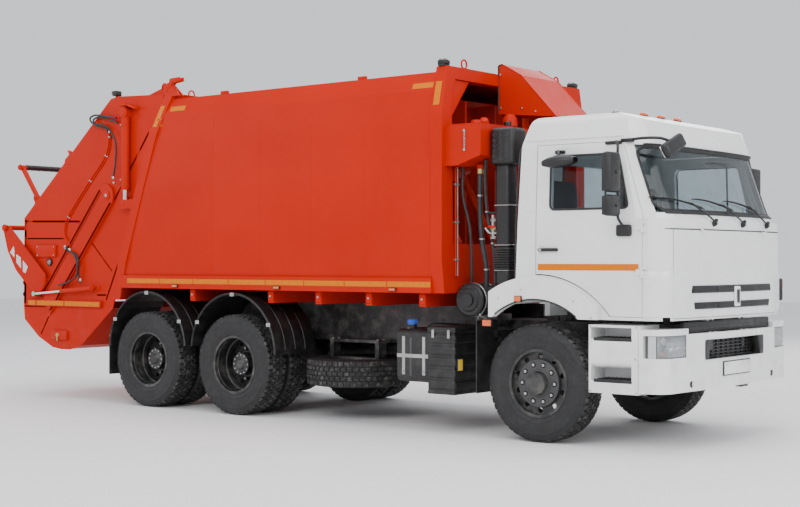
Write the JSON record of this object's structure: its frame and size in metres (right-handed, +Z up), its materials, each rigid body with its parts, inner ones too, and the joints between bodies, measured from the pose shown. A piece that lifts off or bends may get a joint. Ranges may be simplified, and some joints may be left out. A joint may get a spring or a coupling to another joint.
{
  "type": "garbage truck",
  "caption": "Three-axle cab-over refuse truck with a compactor body, rear hopper, packer, bin tilter and tilting cab.",
  "frame": {"origin": "on the ground under the middle of the whole vehicle", "axes": "+X forward, +Y to the left, +Z up"},
  "size_m": [8.995, 2.96, 3.53],
  "materials": {
    "body_paint": "semi-gloss",
    "cab_paint": "gloss",
    "frame_paint": "semi-matt",
    "axle_paint": "matt",
    "engine_metal": "rough",
    "spring_steel": "rough",
    "tank_metal": "satin",
    "silencer_metal": "heat-dulled",
    "black_plastic": "grained",
    "wheel_paint": "semi-matt",
    "tyre": "matt",
    "rod_chrome": "polished",
    "cylinder_paint": "semi-gloss",
    "glass": "clear",
    "lamp_glass": "clear",
    "tail_lamp": "gloss",
    "seat_fabric": "woven",
    "trim_plastic": "grained",
    "rim_leather": "soft"
  },
  "bodies": {
    "root": {"chassis_frame": "frame_paint", "engine_block": "engine_metal", "driveline": "axle_paint", "axles": "axle_paint", "springs": "spring_steel", "fuel_tank": "tank_metal", "silencer": "silencer_metal", "battery_box": "black_plastic", "urea_tank": "black_plastic", "air_intake": "black_plastic", "spare_wheel": "tyre", "mudguards": "black_plastic", "bumper": "cab_paint", "headlights": "lamp_glass", "entry_steps": "cab_paint", "body_shell": "body_paint", "body_frame": "body_paint", "oil_tank": "body_paint"},
    "ejector": {"ejector_plate": "body_paint"},
    "tailgate": {"tailgate": "body_paint", "hopper": "body_paint", "tail_lamps": "tail_lamp", "packer_barrels": "cylinder_paint"},
    "lift_barrels": {"lift_barrels": "cylinder_paint"},
    "lift_rods": {"lift_rods": "rod_chrome"},
    "carriage": {"carriage": "body_paint", "packer_rods": "rod_chrome"},
    "packer_blade": {"packer_blade": "body_paint"},
    "tilter": {"tilter": "body_paint"},
    "tilter_barrels": {"tilter_barrels": "cylinder_paint"},
    "tilter_rods": {"tilter_rods": "rod_chrome"},
    "lid_bar": {"lid_bar": "body_paint"},
    "cab": {"cab_shell": "cab_paint", "cab_glass": "glass", "seats": "seat_fabric", "dashboard": "trim_plastic"},
    "front_panel": {"front_panel": "cab_paint"},
    "door_right": {"door_right": "cab_paint", "mirror_right": "black_plastic"},
    "door_left": {"door_left": "cab_paint", "mirror_left": "black_plastic"},
    "steering_wheel": {"steering_wheel": "rim_leather"},
    "knuckle_right": {"knuckle_right": "axle_paint"},
    "knuckle_left": {"knuckle_left": "axle_paint"},
    "tie_rod": {"tie_rod": "axle_paint"},
    "front_right_wheel": {"front_right_wheel": "wheel_paint", "front_right_tyre": "tyre"},
    "front_left_wheel": {"front_left_wheel": "wheel_paint", "front_left_tyre": "tyre"},
    "middle_right_wheel": {"middle_right_wheel": "wheel_paint", "middle_right_tyres": "tyre"},
    "middle_left_wheel": {"middle_left_wheel": "wheel_paint", "middle_left_tyres": "tyre"},
    "rear_right_wheel": {"rear_right_wheel": "wheel_paint", "rear_right_tyres": "tyre"},
    "rear_left_wheel": {"rear_left_wheel": "wheel_paint", "rear_left_tyres": "tyre"}
  },
  "joints": [
    {"name": "cab_tilt", "type": "hinge", "parent": "root", "child": "cab", "pos_m": [4.3925, 0, 0.965], "axis": [0, 1, 0], "range_deg": [0, 50]},
    {"name": "door_right_hinge", "type": "hinge", "parent": "cab", "child": "door_right", "pos_m": [4.2175, -1.207, 1.6], "axis": [0, 0, 1], "range_deg": [0, 68]},
    {"name": "door_left_hinge", "type": "hinge", "parent": "cab", "child": "door_left", "pos_m": [4.2175, 1.207, 1.6], "axis": [0, 0, -1], "range_deg": [0, 68]},
    {"name": "front_panel_hinge", "type": "hinge", "parent": "cab", "child": "front_panel", "pos_m": [4.4855, 0, 1.865], "axis": [0, -1, 0], "range_deg": [0, 75]},
    {"name": "steer_left", "type": "hinge", "parent": "root", "child": "knuckle_left", "pos_m": [3.1525, 0.93, 0.522], "axis": [0, 0, 1], "range_deg": [-28, 28]},
    {"name": "steer_right", "type": "hinge", "parent": "root", "child": "knuckle_right", "pos_m": [3.1525, -0.93, 0.522], "axis": [0, 0, 1], "range_deg": [-28, 28]},
    {"name": "tie_rod_slide", "type": "slide", "parent": "root", "child": "tie_rod", "axis": [0, 1, 0], "range_m": [-0.09, 0.09]},
    {"name": "steering_wheel_turn", "type": "hinge", "parent": "cab", "child": "steering_wheel", "pos_m": [3.8925, 0.7, 1.85], "axis": [-0.5, 0, 0.866], "range_deg": [-500, 500]},
    {"name": "front_left_spin", "type": "hinge", "parent": "knuckle_left", "child": "front_left_wheel", "pos_m": [3.1525, 1.0215, 0.522], "axis": [0, 1, 0], "continuous": true},
    {"name": "front_right_spin", "type": "hinge", "parent": "knuckle_right", "child": "front_right_wheel", "pos_m": [3.1525, -1.0215, 0.522], "axis": [0, 1, 0], "continuous": true},
    {"name": "middle_right_spin", "type": "hinge", "parent": "root", "child": "middle_right_wheel", "pos_m": [-0.5375, -0.945, 0.522], "axis": [0, 1, 0], "continuous": true},
    {"name": "middle_left_spin", "type": "hinge", "parent": "root", "child": "middle_left_wheel", "pos_m": [-0.5375, 0.945, 0.522], "axis": [0, 1, 0], "continuous": true},
    {"name": "rear_right_spin", "type": "hinge", "parent": "root", "child": "rear_right_wheel", "pos_m": [-1.8575, -0.945, 0.522], "axis": [0, 1, 0], "continuous": true},
    {"name": "rear_left_spin", "type": "hinge", "parent": "root", "child": "rear_left_wheel", "pos_m": [-1.8575, 0.945, 0.522], "axis": [0, 1, 0], "continuous": true},
    {"name": "ejector_slide", "type": "slide", "parent": "root", "child": "ejector", "axis": [-1, 0, 0], "range_m": [0, 2.9]},
    {"name": "tailgate_hinge", "type": "hinge", "parent": "root", "child": "tailgate", "pos_m": [-1.6475, 0, 3.47], "axis": [0, 1, 0], "range_deg": [0, 75]},
    {"name": "lift_barrel_swing", "type": "hinge", "parent": "tailgate", "child": "lift_barrels", "pos_m": [-2.2525, 0, 3.25], "axis": [0, 1, 0], "range_deg": [-70, 2]},
    {"name": "lift_rod_slide", "type": "slide", "parent": "lift_barrels", "child": "lift_rods", "axis": [0, 0, -1], "range_m": [-0.01, 0.78]},
    {"name": "carriage_slide", "type": "slide", "parent": "tailgate", "child": "carriage", "axis": [-0.6559, 0, -0.7549], "range_m": [0, 0.6]},
    {"name": "packer_blade_swing", "type": "hinge", "parent": "carriage", "child": "packer_blade", "pos_m": [-3.1573, 0, 1.725], "axis": [0, -1, 0], "range_deg": [0, 80]},
    {"name": "tilter_swing", "type": "hinge", "parent": "tailgate", "child": "tilter", "pos_m": [-3.7375, 0, 1.353], "axis": [0, -1, 0], "range_deg": [-8, 65]},
    {"name": "tilter_barrel_swing", "type": "hinge", "parent": "tailgate", "child": "tilter_barrels", "pos_m": [-2.8075, 0, 1.29], "axis": [0, 1, 0], "range_deg": [-6, 2]},
    {"name": "tilter_rod_slide", "type": "slide", "parent": "tilter_barrels", "child": "tilter_rods", "axis": [-0.9971, 0, -0.0755], "range_m": [-0.21, 0.03]},
    {"name": "lid_bar_swing", "type": "hinge", "parent": "tailgate", "child": "lid_bar", "pos_m": [-4.1175, 0, 2.36], "axis": [0, -1, 0], "range_deg": [0, 45]}
  ],
  "couplings": [
    {"joint": "steer_right", "follows": "steer_left", "ratio": 1},
    {"joint": "tie_rod_slide", "follows": "steer_left", "m_per_rad": -0.17292},
    {"joint": "steering_wheel_turn", "follows": "steer_left", "ratio": 17},
    {"joint": "lift_barrel_swing", "follows": "tailgate_hinge", "ratio": -0.898},
    {"joint": "lift_rod_slide", "follows": "tailgate_hinge", "m_per_rad": 0.58304},
    {"joint": "tilter_barrel_swing", "follows": "tilter_swing", "ratio": -0.05538},
    {"joint": "tilter_rod_slide", "follows": "tilter_swing", "m_per_rad": -0.17506}
  ]
}
